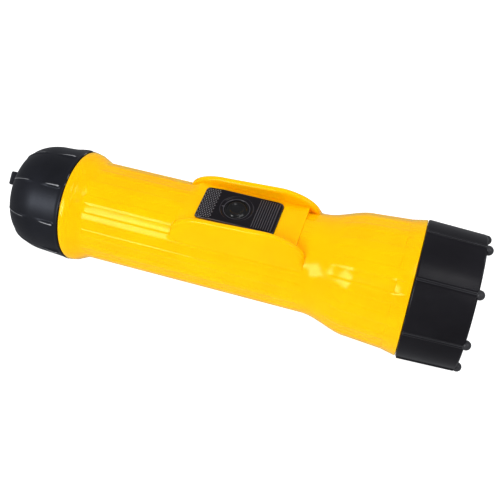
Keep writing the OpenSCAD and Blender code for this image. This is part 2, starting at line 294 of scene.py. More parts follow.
def surface(name, dark, light, rough, patch=60, grain=1800, bump=0.02, wear_and_highlight=None, **values):
    """A material whose colour drifts between two tones, with uneven gloss and a fine grain.

    patch and grain are noise scales per metre, bump is the grain's depth in millimetres, the edge
    colour is the paler colour of its edges, a painted highlight that is partly rubbed wear, if it
    has any, and values go to the shader's own sockets.
    """
    material = bpy.data.materials.new(name)
    material.use_nodes = True
    tree = material.node_tree
    shader = tree.nodes["Principled BSDF"]
    tones = tree.nodes.new("ShaderNodeValToRGB")
    for stop, place, tone in zip(tones.color_ramp.elements, TONE_PLACES, (dark, light)):
        stop.position = place
        stop.color = (*tone, 1)
    tree.links.new(noise(tree, patch), tones.inputs["Fac"])
    colour = tones.outputs["Color"]
    if wear_and_highlight:
        colour = add_wear_and_highlight(tree, colour, wear_and_highlight)
    tree.links.new(colour, shader.inputs["Base Color"])
    gloss = tree.nodes.new("ShaderNodeMapRange")
    gloss.inputs["To Min"].default_value = rough[0]
    gloss.inputs["To Max"].default_value = rough[1]
    tree.links.new(noise(tree, patch * GLOSS_PATCH), gloss.inputs["Value"])
    tree.links.new(gloss.outputs["Result"], shader.inputs["Roughness"])
    relief = tree.nodes.new("ShaderNodeBump")
    relief.inputs["Distance"].default_value = bump * MM
    relief.inputs["Strength"].default_value = 1.0
    tree.links.new(noise(tree, grain, GRAIN_DETAIL), relief.inputs["Height"])
    tree.links.new(relief.outputs["Normal"], shader.inputs["Normal"])
    for socket, value in values.items():
        shader.inputs[socket.replace("_", " ")].default_value = value
    return material


def make_materials():
    glass = {"Transmission_Weight": 1.0, "IOR": 1.58}
    metal = {"Metallic": 1.0}
    return {
        "body_yellow": surface(
            "moulded_yellow", (0.92, 0.505, 0.0), (0.97, 0.545, 0.0), (0.10, 0.19), grain=420,
            bump=0.012, Specular_IOR_Level=0.36, Specular_Tint=(1, 0.8, 0.52, 1),
            Subsurface_Weight=0.35, Subsurface_Radius=(1, 0.4, 0.05), Subsurface_Scale=0.004),
        # paler ring edges: painted highlight on the ribs, partly rubbed wear
        "black_ring": surface(
            "ring_black", (0.010, 0.009, 0.012), (0.015, 0.014, 0.018), (0.26, 0.38),
            grain=2600, bump=0.012, wear_and_highlight=(0.05, 0.05, 0.055), IOR=1.38),
        # pale cap edges: painted highlight on the rib crests and the lug, partly rubbed wear
        "black_cap": surface(
            "cap_black", (0.011, 0.011, 0.014), (0.017, 0.017, 0.022), (0.34, 0.44),
            grain=2600, bump=0.012, wear_and_highlight=(0.3, 0.3, 0.31), Specular_Tint=(0.82, 0.88, 1, 1),
            IOR=1.45),
        # paler switch edges: painted highlight on the knurl points and bars, partly rubbed wear
        "black_switch": surface(
            "switch_black", (0.009, 0.007, 0.010), (0.014, 0.012, 0.016), (0.2, 0.28),
            grain=3000, bump=0.008, wear_and_highlight=(0.085, 0.08, 0.09), IOR=1.42),
        "button_black": surface(
            "button_black", (0.009, 0.009, 0.010), (0.014, 0.014, 0.015), (0.12, 0.18),
            grain=900, bump=0.004),
        "rubber": surface(
            "seal_rubber", (0.012, 0.012, 0.012), (0.024, 0.024, 0.023), (0.6, 0.8), bump=0.02),
        "lens_clear": surface(
            "clear_lens", (0.96, 0.98, 0.98), (0.98, 0.99, 0.99), (0.01, 0.04), grain=200,
            bump=0.003, **glass),
        "mirror": surface(
            "mirror_coat", (0.86, 0.87, 0.88), (0.91, 0.92, 0.92), (0.03, 0.08), grain=300,
            bump=0.004, **metal),
        "lamp_clear": surface(
            "lamp_glass", (0.97, 0.97, 0.96), (0.99, 0.99, 0.98), (0.0, 0.02), grain=250,
            bump=0.004, **glass),
        "lamp_wire": surface(
            "lamp_wire", (0.34, 0.33, 0.31), (0.5, 0.49, 0.47), (0.3, 0.5), **metal),
        "lamp_insulator": surface(
            "lamp_insulator", (0.02, 0.02, 0.024), (0.04, 0.04, 0.045), (0.15, 0.3), bump=0.006),
        "brass": surface(
            "stamped_brass", (0.52, 0.34, 0.12), (0.74, 0.52, 0.22), (0.24, 0.42), patch=220,
            bump=0.01, **metal),
        "plated_steel": surface(
            "plated_steel", (0.52, 0.52, 0.5), (0.68, 0.68, 0.66), (0.2, 0.36), patch=120,
            bump=0.008, **metal),
        "spring_steel": surface(
            "spring_steel", (0.46, 0.46, 0.45), (0.6, 0.6, 0.59), (0.22, 0.34), patch=160,
            bump=0.006, **metal),
        "cell_wrap": surface(
            "cell_sleeve", (0.015, 0.06, 0.2), (0.03, 0.1, 0.3), (0.18, 0.3), grain=260,
            bump=0.03, Coat_Weight=0.3, Coat_Roughness=0.08),
    }


# ---- tube ----


def flute(turn):
    """1 in the middle of a flute, 0 on the land between two flutes."""
    step = 360 / FLUTES
    off = abs((turn + step / 2) % step - step / 2)
    return 1 - ease((off - FLUTE_HALF + FLUTE_EDGE / 2) / FLUTE_EDGE)


def flute_share(x):
    """How deep the flutes are at x: full on the grip and on the bell, none on the neck between."""
    start, rise = FLUTE_BELL
    bell = ease((x - start) / rise) if x < COLLAR_X - 0.1 else 0.0
    return max(band(x, 1.0, *FLUTE_GRIP), bell)


def outer_profile():
    """Outside of the tube as (x, radius) stations, from the tail neck to the head neck."""
    tail = [(-NECK_LEN, TAIL_ROOT_R - NECK_BEVEL), (NECK_BEVEL - NECK_LEN, TAIL_ROOT_R)]
    tail += thread(1 - NECK_LEN, TAIL_ROOT_R, TAIL_CREST_R)
    flange = [(0, TAIL_ROOT_R), (0, FLANGE_R - 0.6), (0.15, FLANGE_R - 0.2), (0.6, FLANGE_R),
              (3.2, FLANGE_R - 0.55)]
    flange += [(mix(FLANGE_EDGE_X, FLANGE_FOOT_X, t),
                mix(FLANGE_R - 0.75, GRIP_R, ease(t * 0.86 + 0.14))) for t in spread(0, 1, 8)]
    marks = [GUARD_REAR_X, GUARD_REAR_X + GUARD_STEP, PAD_FRONT_X - 0.05, PAD_FRONT_X + 0.05,
             GUARD_FRONT_X - GUARD_STEP, GUARD_FRONT_X]
    marks += spread(GUARD_REAR_X + 1, GUARD_REAR_X + 15, 16)
    marks += spread(GUARD_FRONT_X - 16, GUARD_FRONT_X - 1, 18)
    marks += spread(FLANGE_FOOT_X + 0.6, BELL_X, 30)
    grip = [(x, GRIP_R) for x in sorted({round(x, 3) for x in marks})]
    bell = [(BELL_X + BELL_LEN * t, mix(GRIP_R, BELL_R, ease(t))) for t in spread(0.05, 1, 20)]
    skirt = [(x, mix(BELL_R, COLLAR_R, (x - BELL_X - BELL_LEN) / (COLLAR_X - BELL_X - BELL_LEN)))
             for x in spread(BELL_X + BELL_LEN + 1.5, COLLAR_X - 0.15, 8)]
    collar = [(COLLAR_X, COLLAR_R), (HEAD_X - 0.5, HEAD_R - 0.1), (HEAD_X - 0.12, HEAD_R - 0.2),
              (HEAD_X, HEAD_R - 0.5), (HEAD_X, FRONT_ROOT_R)]
    head = thread(HEAD_X + 2, FRONT_ROOT_R, FRONT_CREST_R)
    head += [(HEAD_X + NECK_LEN - NECK_BEVEL, FRONT_ROOT_R),
             (HEAD_X + NECK_LEN, FRONT_ROOT_R - NECK_BEVEL)]
    return tail + flange + grip + bell + skirt + collar + head


def bore_profile():
    """Inside of the tube, from the head back to the tail."""
    flare = [(BELL_X + BORE_LAG + BELL_LEN * t, mix(BORE_R, HEAD_BORE_R, ease(t)))
             for t in spread(1, 0, 14)]
    straight = [(x, BORE_R) for x in spread(80, -NECK_LEN, 5)]
    return [(HEAD_X + NECK_LEN, HEAD_BORE_R)] + flare + straight


def guard_height(x):
    """Height of a guard's crest: an elliptical shoulder at each end and a slow rise between."""
    rear_top = GUARD_TOP - GUARD_RISE
    a, b = SHOULDER_REAR
    if x < GUARD_REAR_X + a:
        t = 1 - (x - GUARD_REAR_X) / a
        return rear_top - b * (1 - math.sqrt(max(0.0, 1 - t * t)))
    c, d = SHOULDER_FRONT
    if x > GUARD_FRONT_X - c:
        t = 1 - (GUARD_FRONT_X - x) / c
        return GUARD_TOP - d * (1 - math.sqrt(max(0.0, 1 - t * t)))
    t = (x - GUARD_REAR_X - a) / (GUARD_FRONT_X - c - GUARD_REAR_X - a)
    return mix(rear_top, GUARD_TOP, t)


FLOOR_POINTS = 32
WALL_POINTS = 4
CREST_POINTS = 11
SLOPE_POINTS = 14
BARREL_POINTS = 150
WALL_TURN = 31.0
CREST_TURN = 33.0
SLOPE_TURN = 40.0


def plain_turns():
    """Turns of the half outline's points where there is no guard."""
    count = FLOOR_POINTS
    return ([WALL_TURN * i / count for i in range(count)]
            + [mix(WALL_TURN, CREST_TURN, i / WALL_POINTS) for i in range(WALL_POINTS)]
            + [mix(CREST_TURN, SLOPE_TURN, i / CREST_POINTS) for i in range(CREST_POINTS)]
            + [mix(SLOPE_TURN, GUARD_FOOT_TURN, i / SLOPE_POINTS) for i in range(SLOPE_POINTS)]
            + spread(GUARD_FOOT_TURN, 180, BARREL_POINTS))


TURNS = plain_turns()


def guard_points(x, radius, share):
    """(y, z) points across half the switch's channel: floor, inner wall, crest, outer slope."""

    def skin(turn):
        return radius - FLUTE_DEPTH * share * flute(turn)

    def floor_z(y):
        barrel = math.sqrt(skin(math.degrees(math.asin(y / radius))) ** 2 - y * y)
        risen = ease((x - GUARD_REAR_X) / PAD_RAMP) if x <= PAD_FRONT_X else 0.0
        return mix(barrel, PAD_TOP, risen)

    half = GUARD_T / 2
    crest_y, crest_z = GUARD_INNER_Y + half, guard_height(x) - half
    foot_z = floor_z(GUARD_INNER_Y)
    wall_top = max(crest_z, foot_z + 0.1)
    across = [GUARD_INNER_Y * i / FLOOR_POINTS for i in range(FLOOR_POINTS)]
    out = [(y, floor_z(y)) for y in across]
    out += [(GUARD_INNER_Y, mix(foot_z, wall_top, i / WALL_POINTS)) for i in range(WALL_POINTS)]
    for i in range(CREST_POINTS):
        a = math.pi * (1 - i / CREST_POINTS)
        out.append((crest_y + half * math.cos(a), crest_z + half * math.sin(a)))
    foot_r, foot_turn = skin(GUARD_FOOT_TURN), math.radians(GUARD_FOOT_TURN)
    foot_y, foot_z = foot_r * math.sin(foot_turn), foot_r * math.cos(foot_turn)
    for i in range(SLOPE_POINTS):
        t = i / SLOPE_POINTS
        bow = GUARD_BOW * math.sin(math.pi * t)
        out.append((mix(crest_y + half, foot_y, t) + bow,
                    mix(crest_z, foot_z, t) + bow * GUARD_BOW_RISE))
    raised = []
    for i, (y, z) in enumerate(out):
        r = math.hypot(y, z)
        low = skin(math.degrees(math.atan2(y, z))) + GUARD_PROUD
        if i >= FLOOR_POINTS and r < low:
            y, z = y * low / r, z * low / r
        raised.append((y, z))
    return raised


def tube_ring(x, radius):
    """One closed outline round the tube at x."""
    share = flute_share(x)
    half = []
    for turn in TURNS:
        r = radius - FLUTE_DEPTH * share * flute(turn)
        half.append((r * math.sin(math.radians(turn)), r * math.cos(math.radians(turn))))
    if GUARD_REAR_X < x < GUARD_FRONT_X:
        channel = guard_points(x, radius, share)
        half = channel + half[len(channel):]
    return [at(x, y, z) for y, z in half] + [at(x, -y, z) for y, z in reversed(half[1:-1])]


def box_cutter(x0, x1, width, z0, z1):
    """A box over the axis, to be cut out of a piece."""
    bm = bmesh.new()
    bmesh.ops.create_cube(bm, size=1)
    size = Matrix.Diagonal(Vector(((x1 - x0) * MM, width * MM, (z1 - z0) * MM, 1)))
    bm.transform(Matrix.Translation(at((x0 + x1) / 2, 0, (z0 + z1) / 2)) @ size)
    return add_object("cutter", bm)


def cut(piece, cutters):
    """Takes the cutters out of a piece and removes them."""
    for cutter in cutters:
        step = piece.modifiers.new("cut", "BOOLEAN")
        step.operation = "DIFFERENCE"
        step.solver = "EXACT"
        step.object = cutter
    mesh = bpy.data.meshes.new_from_object(
        piece.evaluated_get(bpy.context.evaluated_depsgraph_get()))
    piece.modifiers.clear()
    piece.data = mesh
    shade(mesh)
    for cutter in cutters:
        bpy.data.objects.remove(cutter)


STRIP_SLOT_END_X = 114
STRIP_SLOT_W = 6.4
STRIP_SLOT_Z = (10, 18.5)
KEEL_SLOT_HALF = 6.6
KEEL_SLOT_W = 12.6
KEEL_SLOT_BOTTOM = 19.5
STEM_SLOT_HALF = 3.8
STEM_SLOT_W = 4.6
STEM_SLOT_BOTTOM = 16


def make_tube(paint):
    """The moulded tube, with slots for the contact strips, the switch's keel and its stem."""
    bm = bmesh.new()
    rings = [tube_ring(x, r) for x, r in outer_profile()]
    turns = TURNS + [360 - t for t in reversed(TURNS[1:-1])]
    rings += [[polar(x, t, r) for t in turns] for x, r in bore_profile()]
    add_loft(bm, rings)
    tube = finish_mesh("tube_shell", bm, paint["body_yellow"], "tube")
    cut(tube, [box_cutter(-NECK_LEN - 1, STRIP_SLOT_END_X, STRIP_SLOT_W, *STRIP_SLOT_Z),
               box_cutter(BUTTON_X - KEEL_SLOT_HALF, BUTTON_X + KEEL_SLOT_HALF + TRAVEL,
                          KEEL_SLOT_W, KEEL_SLOT_BOTTOM, PAD_TOP + 1),
               box_cutter(BUTTON_X - STEM_SLOT_HALF, BUTTON_X + STEM_SLOT_HALF + TRAVEL,
                          STEM_SLOT_W, STEM_SLOT_BOTTOM, PAD_TOP)])
    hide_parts("body")


# ---- lens ring ----

RING_RIBS = 8
RING_RIB_TURN = 14.5
RING_R = 27.7
RING_FRONT_R = 26.9
WINDOW_R = 22.5
THREAD_CREST_R = 25.55
THREAD_ROOT_R = 26.2
RING_SOFT = 0.3
RING_RIB_HALF = 0.7
RING_RIB_RISE = 0.55
RIB_STEPS = (-2, -1.5, -1.1, -0.98, -0.88, -0.7, -0.5, -0.3, -0.1,
             0.1, 0.3, 0.5, 0.7, 0.88, 0.98, 1.1, 1.5, 2)
RIB_FLAT = 0.45
RIB_SIDE = 0.95
KNOB_ROUND = 24
KNOB_ROWS = 12


def rib_turns(count, first, half_width):
    """Turns round a ribbed part: close together on each rib, wider apart between."""
    step = 360 / count
    near = [half_width * k for k in RIB_STEPS]
    far = spread(half_width * 2, step - half_width * 2, 18)[1:-1]
    return [first + i * step + d for i in range(count) for d in near + far]


def rib_off(turn, count, first):
    """Degrees from the nearest rib's middle."""
    step = 360 / count
    return abs((turn - first + step / 2) % step - step / 2)


def rib_bump(turn, count, first, half_width):
    """1 along a rib's middle and 0 beside it, with a flat top."""
    return 1 - ease((rib_off(turn, count, first) / half_width - RIB_FLAT) / RIB_SIDE)


def crisp_bump(turn, count, first, half_width):
    """1 along a rib's middle and 0 beside it, with straight sides that meet in a crest."""
    return max(0.0, 1 - rib_off(turn, count, first) / half_width)


def add_knob(bm, turn):
    """A round bead at the front end of a rib. Its poles, on the line along x, are cut off flat."""
    centre_r = RING_FRONT_R + 0.5 - RING_KNOB_R
    rings = []
    for i in range(KNOB_ROWS + 1):
        a = math.pi * (i / KNOB_ROWS * 0.996 + 0.002)
        x = RING_FRONT_X + RING_KNOB_OUT - RING_KNOB_R * math.cos(a)
        ring = []
        for k in range(KNOB_ROUND):
            b = 2 * math.pi * k / KNOB_ROUND
            out = centre_r + RING_KNOB_R * math.sin(a) * math.sin(b)
            ring.append(spun(x, out, RING_KNOB_R * math.sin(a) * math.cos(b), turn))
        rings.append(ring)
    add_loft(bm, rings, "cap")


def make_ring(paint):
    """The lens ring: its ribbed outside, the window's rim, the lens seat and the thread."""
    seat_x = LENS_FRONT_X + 0.1
    threads = [(THREAD_CREST_R, HEAD_X + 14)]
    for i in (1, 0):
        threads += [(THREAD_ROOT_R, HEAD_X + 4 + i * PITCH + d) for d in (3.4, 0.6)]
    outside = [(RING_R - 1, HEAD_X + 0.2), (RING_R - 0.3, HEAD_X + 0.2), (RING_R, HEAD_X + 0.7),
               (mix(RING_R, RING_FRONT_R, 0.5), HEAD_X + 11.5),
               (RING_FRONT_R, RING_FRONT_X - 0.6), (RING_FRONT_R - 0.6, RING_FRONT_X)]
    window = [(WINDOW_R + 0.8, RING_FRONT_X), (WINDOW_R, seat_x + 0.8), (WINDOW_R, seat_x),
              (THREAD_CREST_R, seat_x)]
    back = [(THREAD_CREST_R, HEAD_X + 4.4), (THREAD_CREST_R, HEAD_X + 3.4),
            (RING_R - 1, HEAD_X + 3)]
    half_width = math.degrees(RING_RIB_HALF / RING_R)
    turns = rib_turns(RING_RIBS, RING_RIB_TURN, half_width)
    rings = []
    for r, x in soften(outside + window + threads + back, RING_SOFT):
        ribbed = r > RING_R - 1.1 and HEAD_X + 0.6 < x < RING_FRONT_X - 0.1
        height = RING_RIB_RISE if ribbed else 0.0
        rings.append([polar(x, t, r + height * rib_bump(t, RING_RIBS, RING_RIB_TURN, half_width))
                      for t in turns])
    bm = bmesh.new()
    add_loft(bm, rings)
    for i in range(RING_RIBS):
        add_knob(bm, RING_RIB_TURN + i * 360 / RING_RIBS)
    ring = finish_mesh("lens_ring_shell", bm, paint["black_ring"], "ring")
    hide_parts("lens_ring")


LENS_CROWN = 0.25
LENS_CROWN_SHARE = 0.1
LENS_RIM = 0.02


def make_lens(paint):
    """A clear window, a touch crowned, with a rounded rim."""
    front = [(LENS_R - 1.6, LENS_FRONT_X - LENS_RIM)]
    front += [(r, LENS_FRONT_X - LENS_CROWN * (r / LENS_R) ** 2 * LENS_CROWN_SHARE)
              for r in spread(LENS_R - 4, 0, 8)]
    back = [(r, LENS_BACK_X + LENS_RIM) for r in spread(0, LENS_R - 1, 6)]
    outline = front + back + [(LENS_R, LENS_BACK_X + 0.3), (LENS_R, LENS_FRONT_X - 0.5),
                              (LENS_R - 0.5, LENS_FRONT_X)]
    bm = bmesh.new()
    add_loft(bm, lathe_rings(outline, even_turns(120)))
    lens = finish_mesh("lens_window", bm, paint["lens_clear"], "lamp_pack")
    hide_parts("lens")


FOCAL = 3.8
APEX_X = HEAD_X - 16.8
MIRROR_HOLE_R = 6.0
MIRROR_FRONT_X = LENS_BACK_X - 1.2
MIRROR_RIM = 1.8
MIRROR_WALL = 1.4
LAMP_SEAT_X = APEX_X - 1.5
SOCKET_R = 8.4


def make_reflector(paint):
    """Paraboloid mirror on a thin shell, with a rim at the front and a collar for the lamp."""
    hole_x = APEX_X + MIRROR_HOLE_R ** 2 / (4 * FOCAL)

    def curve(t):
        x = mix(hole_x, MIRROR_FRONT_X, t * t)
        return math.sqrt(4 * FOCAL * (x - APEX_X)), x

    front = [curve(t) for t in spread(0, 1, 56)]
    rim = [(LENS_R, MIRROR_FRONT_X), (LENS_R, MIRROR_FRONT_X - MIRROR_RIM),
           (HEAD_BORE_R - 0.5, MIRROR_FRONT_X - MIRROR_RIM)]
    back = [(r + MIRROR_WALL, x - 0.8) for r, x in map(curve, spread(13 / 14, 4 / 14, 24))]
    collar = [(SOCKET_R, hole_x + 0.6), (SOCKET_R, LAMP_SEAT_X), (MIRROR_HOLE_R, LAMP_SEAT_X)]
    bm = bmesh.new()
    add_loft(bm, lathe_rings(front + rim + back + collar, even_turns(144)))
    mirror = finish_mesh("reflector_mirror", bm, paint["mirror"], "lamp_pack", 30)
    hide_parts("reflector")


# ---- tail cap ----

CAP_R = 23.3
CAP_LEN = 26.4
CAP_RIBS = 9
CAP_RIB_TURN = 15.0
CAP_SHOULDER_X = 11.6
CAP_SHOULDER_R = 22.65
CAP_END_R = 13.4
CAP_LIP = 0.2
CAP_ROUND = 0.35
CAP_RIM_X = -0.2
CAP_CREST_R = 20.15
CAP_ROOT_R = 20.8
CAP_RIB_HALF = 1.05
CAP_RIDGE = (0.85, 1.9, 0.7, 4.5, 7.5)
CAP_RUN = (0.32, 14.5, 2, 24, 2)
LUG_TURN = 52.0
LUG_W = 14.0
LUG_T = 5.8
LUG_SIDE = 1.3
LUG_HOLE_R = 2.5
LUG_WALL = 2.5
LUG_FLARE = 0.45
LUG_POINTS = 72
LUG_ROUND = 0.7
LUG_BEVEL = 0.4
LUG_MOUTH = ((2.5, 0), (1.7, 0), (1, 0), (0.3, 0.3), (0, 1))
LUG_HOLE_X = TAIL_X + LUG_WALL + LUG_HOLE_R


def cap_rib_height(x):
    """Height of a cap rib: a blunt ridge beside the tube, then a faint run over the shoulder."""
    return max(band(-x, *CAP_RIDGE), band(-x, *CAP_RUN))


def cap_outside():
    """Outside of the cap with outward normals, as (radius, x, normal radius, normal x)."""
    rim = CAP_R + CAP_LIP - CAP_ROUND
    side = [(CAP_R - 0.6, CAP_RIM_X)]
    side += [(rim + CAP_ROUND * math.sin(a), CAP_RIM_X - CAP_ROUND * (1 - math.cos(a)))
             for a in spread(0, math.pi / 2, 12)]
    side += [(CAP_R + CAP_LIP * 0.9, -0.8), (CAP_R + CAP_LIP * 0.6, -1.1),
             (CAP_R + CAP_LIP * 0.3, -1.4)]
    side += [(mix(CAP_R, CAP_SHOULDER_R, (-x - 0.8) / (CAP_SHOULDER_X - 0.8)), x)
             for x in spread(-1.7, -CAP_SHOULDER_X + 0.3, 18)]
    depth, width = CAP_LEN - CAP_SHOULDER_X, CAP_SHOULDER_R - CAP_END_R
    dome = []
    for a in (math.radians(d) for d in range(0, 91, 5)):
        normal = Vector((math.cos(a) / width, -math.sin(a) / depth)).normalized()
        dome.append((CAP_END_R + width * math.cos(a), -CAP_SHOULDER_X - depth * math.sin(a),
                     *normal))
    end = [(r, -CAP_LEN, 0, -1) for r in (9, 5, 0)]
    return [(r, x, 1, 0) for r, x in side] + dome + end


CAP_CAVITY = [
    (0, -23.9), (11, -23.9), (15, -22.8), (18.2, -20), (19.6, -16.5), (19.6, -14.6),
    (CAP_CREST_R, -14.2), (CAP_CREST_R, -11.8), (CAP_ROOT_R, -11.2), (CAP_ROOT_R, -8.8),
    (CAP_CREST_R, -8.2), (CAP_CREST_R, -7.8), (CAP_ROOT_R, -7.2), (CAP_ROOT_R, -4.8),
    (CAP_CREST_R, -4.2), (CAP_CREST_R, -3.3), (21.4, -2.9), (21.4, CAP_RIM_X)]


def lug_reach(a):
    """From the hole's centre to the tab's edge in the direction a, in the tab's own plane."""
    centre = LUG_W / 2 - LUG_WALL - LUG_HOLE_R
    dx, dw = math.cos(a), math.sin(a)
    reach = centre * dx + math.sqrt((centre * dx) ** 2 + (LUG_W / 2) ** 2 - centre ** 2)
    if reach * dx > centre:
        side = LUG_W / 2 / max(abs(dw), TINY)
        back = (-CAP_LEN + 1 - LUG_HOLE_X) / max(dx, TINY)
        reach = min(side, back)
    return reach


def add_lug(bm):
    """Half-round tab with a cross hole, its edges rounded over."""
    low, high = LUG_SIDE, LUG_SIDE + LUG_T
    middle = (low + high) / 2

    def ring(inset, p, hole=False):
        out = []
        for k in range(LUG_POINTS):
            a = 2 * math.pi * (k + 0.5) / LUG_POINTS
            reach = LUG_HOLE_R + inset if hole else lug_reach(a) - inset
            x = LUG_HOLE_X + reach * math.cos(a)
            thick = 1 + LUG_FLARE * ease((x + CAP_LEN + 1.5) / 2)
            out.append(spun(x, middle + (p - middle) * thick, reach * math.sin(a), LUG_TURN))
        return out

    arc = [(LUG_ROUND * (1 - math.sin(a)), LUG_ROUND * (1 - math.cos(a)))
           for a in spread(0, math.pi / 2, 12)]
    rings = [ring(i, low + d) for i, d in arc]
    rings += [ring(0, p) for p in spread(low + LUG_ROUND, high - LUG_ROUND, 6)[1:-1]]
    rings += [ring(i, high - d) for i, d in reversed(arc)]
    rings += [ring(LUG_BEVEL * i, high - LUG_BEVEL * d, True) for i, d in LUG_MOUTH]
    rings += [ring(LUG_BEVEL * i, low + LUG_BEVEL * d, True) for i, d in reversed(LUG_MOUTH)]
    add_loft(bm, rings)


def make_cap(paint):
    """The tail cap: its ribbed outside, the cavity with its thread, and the lug."""
    ridge_half = math.degrees(CAP_RIB_HALF / CAP_R)
    turns = rib_turns(CAP_RIBS, CAP_RIB_TURN, ridge_half)
    rings = []
    for r, x, nr, nx in cap_outside():
        ring = []
        for t in turns:
            lift = cap_rib_height(x) * crisp_bump(t, CAP_RIBS, CAP_RIB_TURN, ridge_half)
            ring.append(polar(x + lift * nx, t, r + lift * nr))
        rings.append(ring)
    rings += lathe_rings(CAP_CAVITY, turns)
    bm = bmesh.new()
    add_loft(bm, rings)
    add_lug(bm)
    cap = finish_mesh("tail_cap_shell", bm, paint["black_cap"], "cap")
    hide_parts("tail_cap")


# ---- switch ----

PLATE_TOP = 21.9
PLATE_BOTTOM = PAD_TOP + 0.15
PLATE_HALF_W = 8.3
PLATE_CORNER = 1.4
SLOPE_LEN = 6.8
ROLL_LEN = 3.2
BUTTON_R = 4.8
KEEL_BOTTOM = 19.7
KEEL_FLOOR = 20.1
KEEL_WALL = 1.1
PLATE_SLOPE = 0.6
PLATE_ROLL = 0.75
WELL_GAP = 0.15
WELL_RIM = 1.7
WELL_STEP = 0.35
SUNK = 0.08
BARS = 9
BAR_PITCH = 0.95
BAR_RISE = 0.14
BAR_FOOT = 0.3
BAR_CROWN = 0.06
BAR_END_SCALE = 0.6
KNURL_COLUMNS = 6
KNURL_ROWS = 17
KNURL_STEP = (1.0, 0.9)
KNURL_RISE = 0.28
KNURL_FLAT = 0.22


def plate_z(x):
    """Top of the plate: it slopes down along the knurled end and rolls over at the front end."""
    slope = max(0.0, (PLATE_X0 + SLOPE_LEN - x) / SLOPE_LEN)
    roll = max(0.0, (x - PLATE_X1 + ROLL_LEN) / ROLL_LEN)
    return PLATE_TOP - PLATE_SLOPE * slope - PLATE_ROLL * roll * roll


def plate_edge(inset, direction):
    """Point on the plate's rounded outline, seen from the button's middle."""
    x0, x1, w, r = PLATE_X0 + inset, PLATE_X1 - inset, PLATE_HALF_W - inset, PLATE_CORNER
    dx, dy = math.cos(direction), math.sin(direction)
    reach_x = ((x1 if dx > 0 else x0) - BUTTON_X) / dx if abs(dx) > TINY else FAR
    reach = min(reach_x, w / abs(dy) if abs(dy) > TINY else FAR)
    x, y = BUTTON_X + reach * dx, reach * dy
    corner_x = x1 - r if x > BUTTON_X else x0 + r
    corner_y = math.copysign(w - r, y)
    beyond_x = (x - corner_x) * (1 if x > BUTTON_X else -1)
    if beyond_x > 0 and abs(y) > w - r:
        v = Vector((x - corner_x, y - corner_y)).normalized() * r
        x, y = corner_x + v.x, corner_y + v.y
    return x, y


def plate_directions():
    """Directions from the button to points spaced evenly along the plate's outline."""
    corners = ((PLATE_X1, -PLATE_HALF_W, 28), (PLATE_X1, PLATE_HALF_W, 44),
               (PLATE_X0, PLATE_HALF_W, 28), (PLATE_X0, -PLATE_HALF_W, 44))
    out = []
    for (x0, y0, count), (x1, y1, _) in zip(corners, corners[1:] + corners[:1]):
        for i in range(count):
            t = i / count
            out.append(math.atan2(mix(y0, y1, t), mix(x0, x1, t) - BUTTON_X))
    return out


def add_bar(bm, x, half_len):
    """A low rib across the plate, narrower at its crown and lower at its ends."""
    z0, z1 = plate_z(x) - SUNK, plate_z(x) + BAR_RISE
    ends = ((-half_len, BAR_END_SCALE), (-half_len + 0.3, 1), (half_len - 0.3, 1),
            (half_len, BAR_END_SCALE))
    rings = []
    for y, scale in ends:
        top = mix(z0, z1, scale)
        rings.append([at(x - BAR_FOOT, y, z0), at(x - BAR_CROWN, y, top),
                      at(x + BAR_CROWN, y, top), at(x + BAR_FOOT, y, z0)])
    add_loft(bm, rings, "cap")


def add_point(bm, x, y):
    """A blunt four-sided point of the plate's knurled end."""
    half_x, half_y = KNURL_STEP[0] * 0.4, KNURL_STEP[1] * 0.45
    rings = []
    for scale, z in ((1.0, plate_z(x) - SUNK), (KNURL_FLAT, plate_z(x) + KNURL_RISE)):
        rings.append([at(x + a * half_x * scale, y + b * half_y * scale, z)
                      for a, b in ((-1, -1), (1, -1), (1, 1), (-1, 1))])
    add_loft(bm, rings, "cap")


def plate_body_rings():
    """The plate from the button's well over the top and the edge to the keel and its floor."""
    directions = plate_directions()

    def circle(r, z):
        return [at(BUTTON_X + r * math.cos(a), r * math.sin(a), z) for a in directions]

    def edge(inset, drop):
        points = [plate_edge(inset, a) for a in directions]
        return [at(x, y, plate_z(x) - drop) for x, y in points]

    def foot(inset, z):
        return [at(*plate_edge(inset, a), z) for a in directions]

    def between(r, inset, t):
        out = []
        for a in directions:
            x1, y1 = plate_edge(inset, a)
            x = mix(BUTTON_X + r * math.cos(a), x1, t)
            out.append(at(x, mix(r * math.sin(a), y1, t), plate_z(x)))
        return out

    well, rim = BUTTON_R + WELL_GAP, BUTTON_R + WELL_RIM
    rings = [circle(well, KEEL_FLOOR), circle(well, PLATE_TOP - 0.5),
             circle(well + 0.15, PLATE_TOP - WELL_STEP), circle(rim - 0.5, PLATE_TOP - WELL_STEP),
             circle(rim - 0.15, PLATE_TOP - 0.1), circle(rim, PLATE_TOP)]
    rings += [between(rim, 0.5, t) for t in spread(0.1, 1, 12)]
    rings += [edge(0.2, 0.07), edge(0.05, 0.22), edge(0, 0.4)]
    rings += [foot(0, PLATE_BOTTOM + 0.1), foot(0.1, PLATE_BOTTOM)]
    rings += [circle(well + KEEL_WALL, PLATE_BOTTOM), circle(well + KEEL_WALL, KEEL_BOTTOM),
              circle(0.01, KEEL_BOTTOM), circle(0.01, KEEL_FLOOR)]
    return rings


def make_plate(paint):
    """The thumb plate, with bars at its front end and a knurled rear end."""
    bm = bmesh.new()
    add_loft(bm, plate_body_rings())
    for i in range(BARS):
        add_bar(bm, PLATE_X1 - 1.6 - i * BAR_PITCH, PLATE_HALF_W - 0.9)
    step_x, step_y = KNURL_STEP
    for i in range(KNURL_COLUMNS):
        for k in range(KNURL_ROWS):
            x = PLATE_X0 + 0.8 + i * step_x + (step_x / 2 if k % 2 else 0)
            add_point(bm, x, (k - (KNURL_ROWS - 1) / 2) * step_y)
    plate = finish_mesh("thumb_plate", bm, paint["black_switch"], "switch", 25)
    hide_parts("switch_plate")


def button_rings(outline):
    """Rings round the button's own axis from an outline of (radius, z) points."""
    return [[at(BUTTON_X + r * math.cos(math.radians(t)), r * math.sin(math.radians(t)), z)
             for t in even_turns(72)] for r, z in outline]


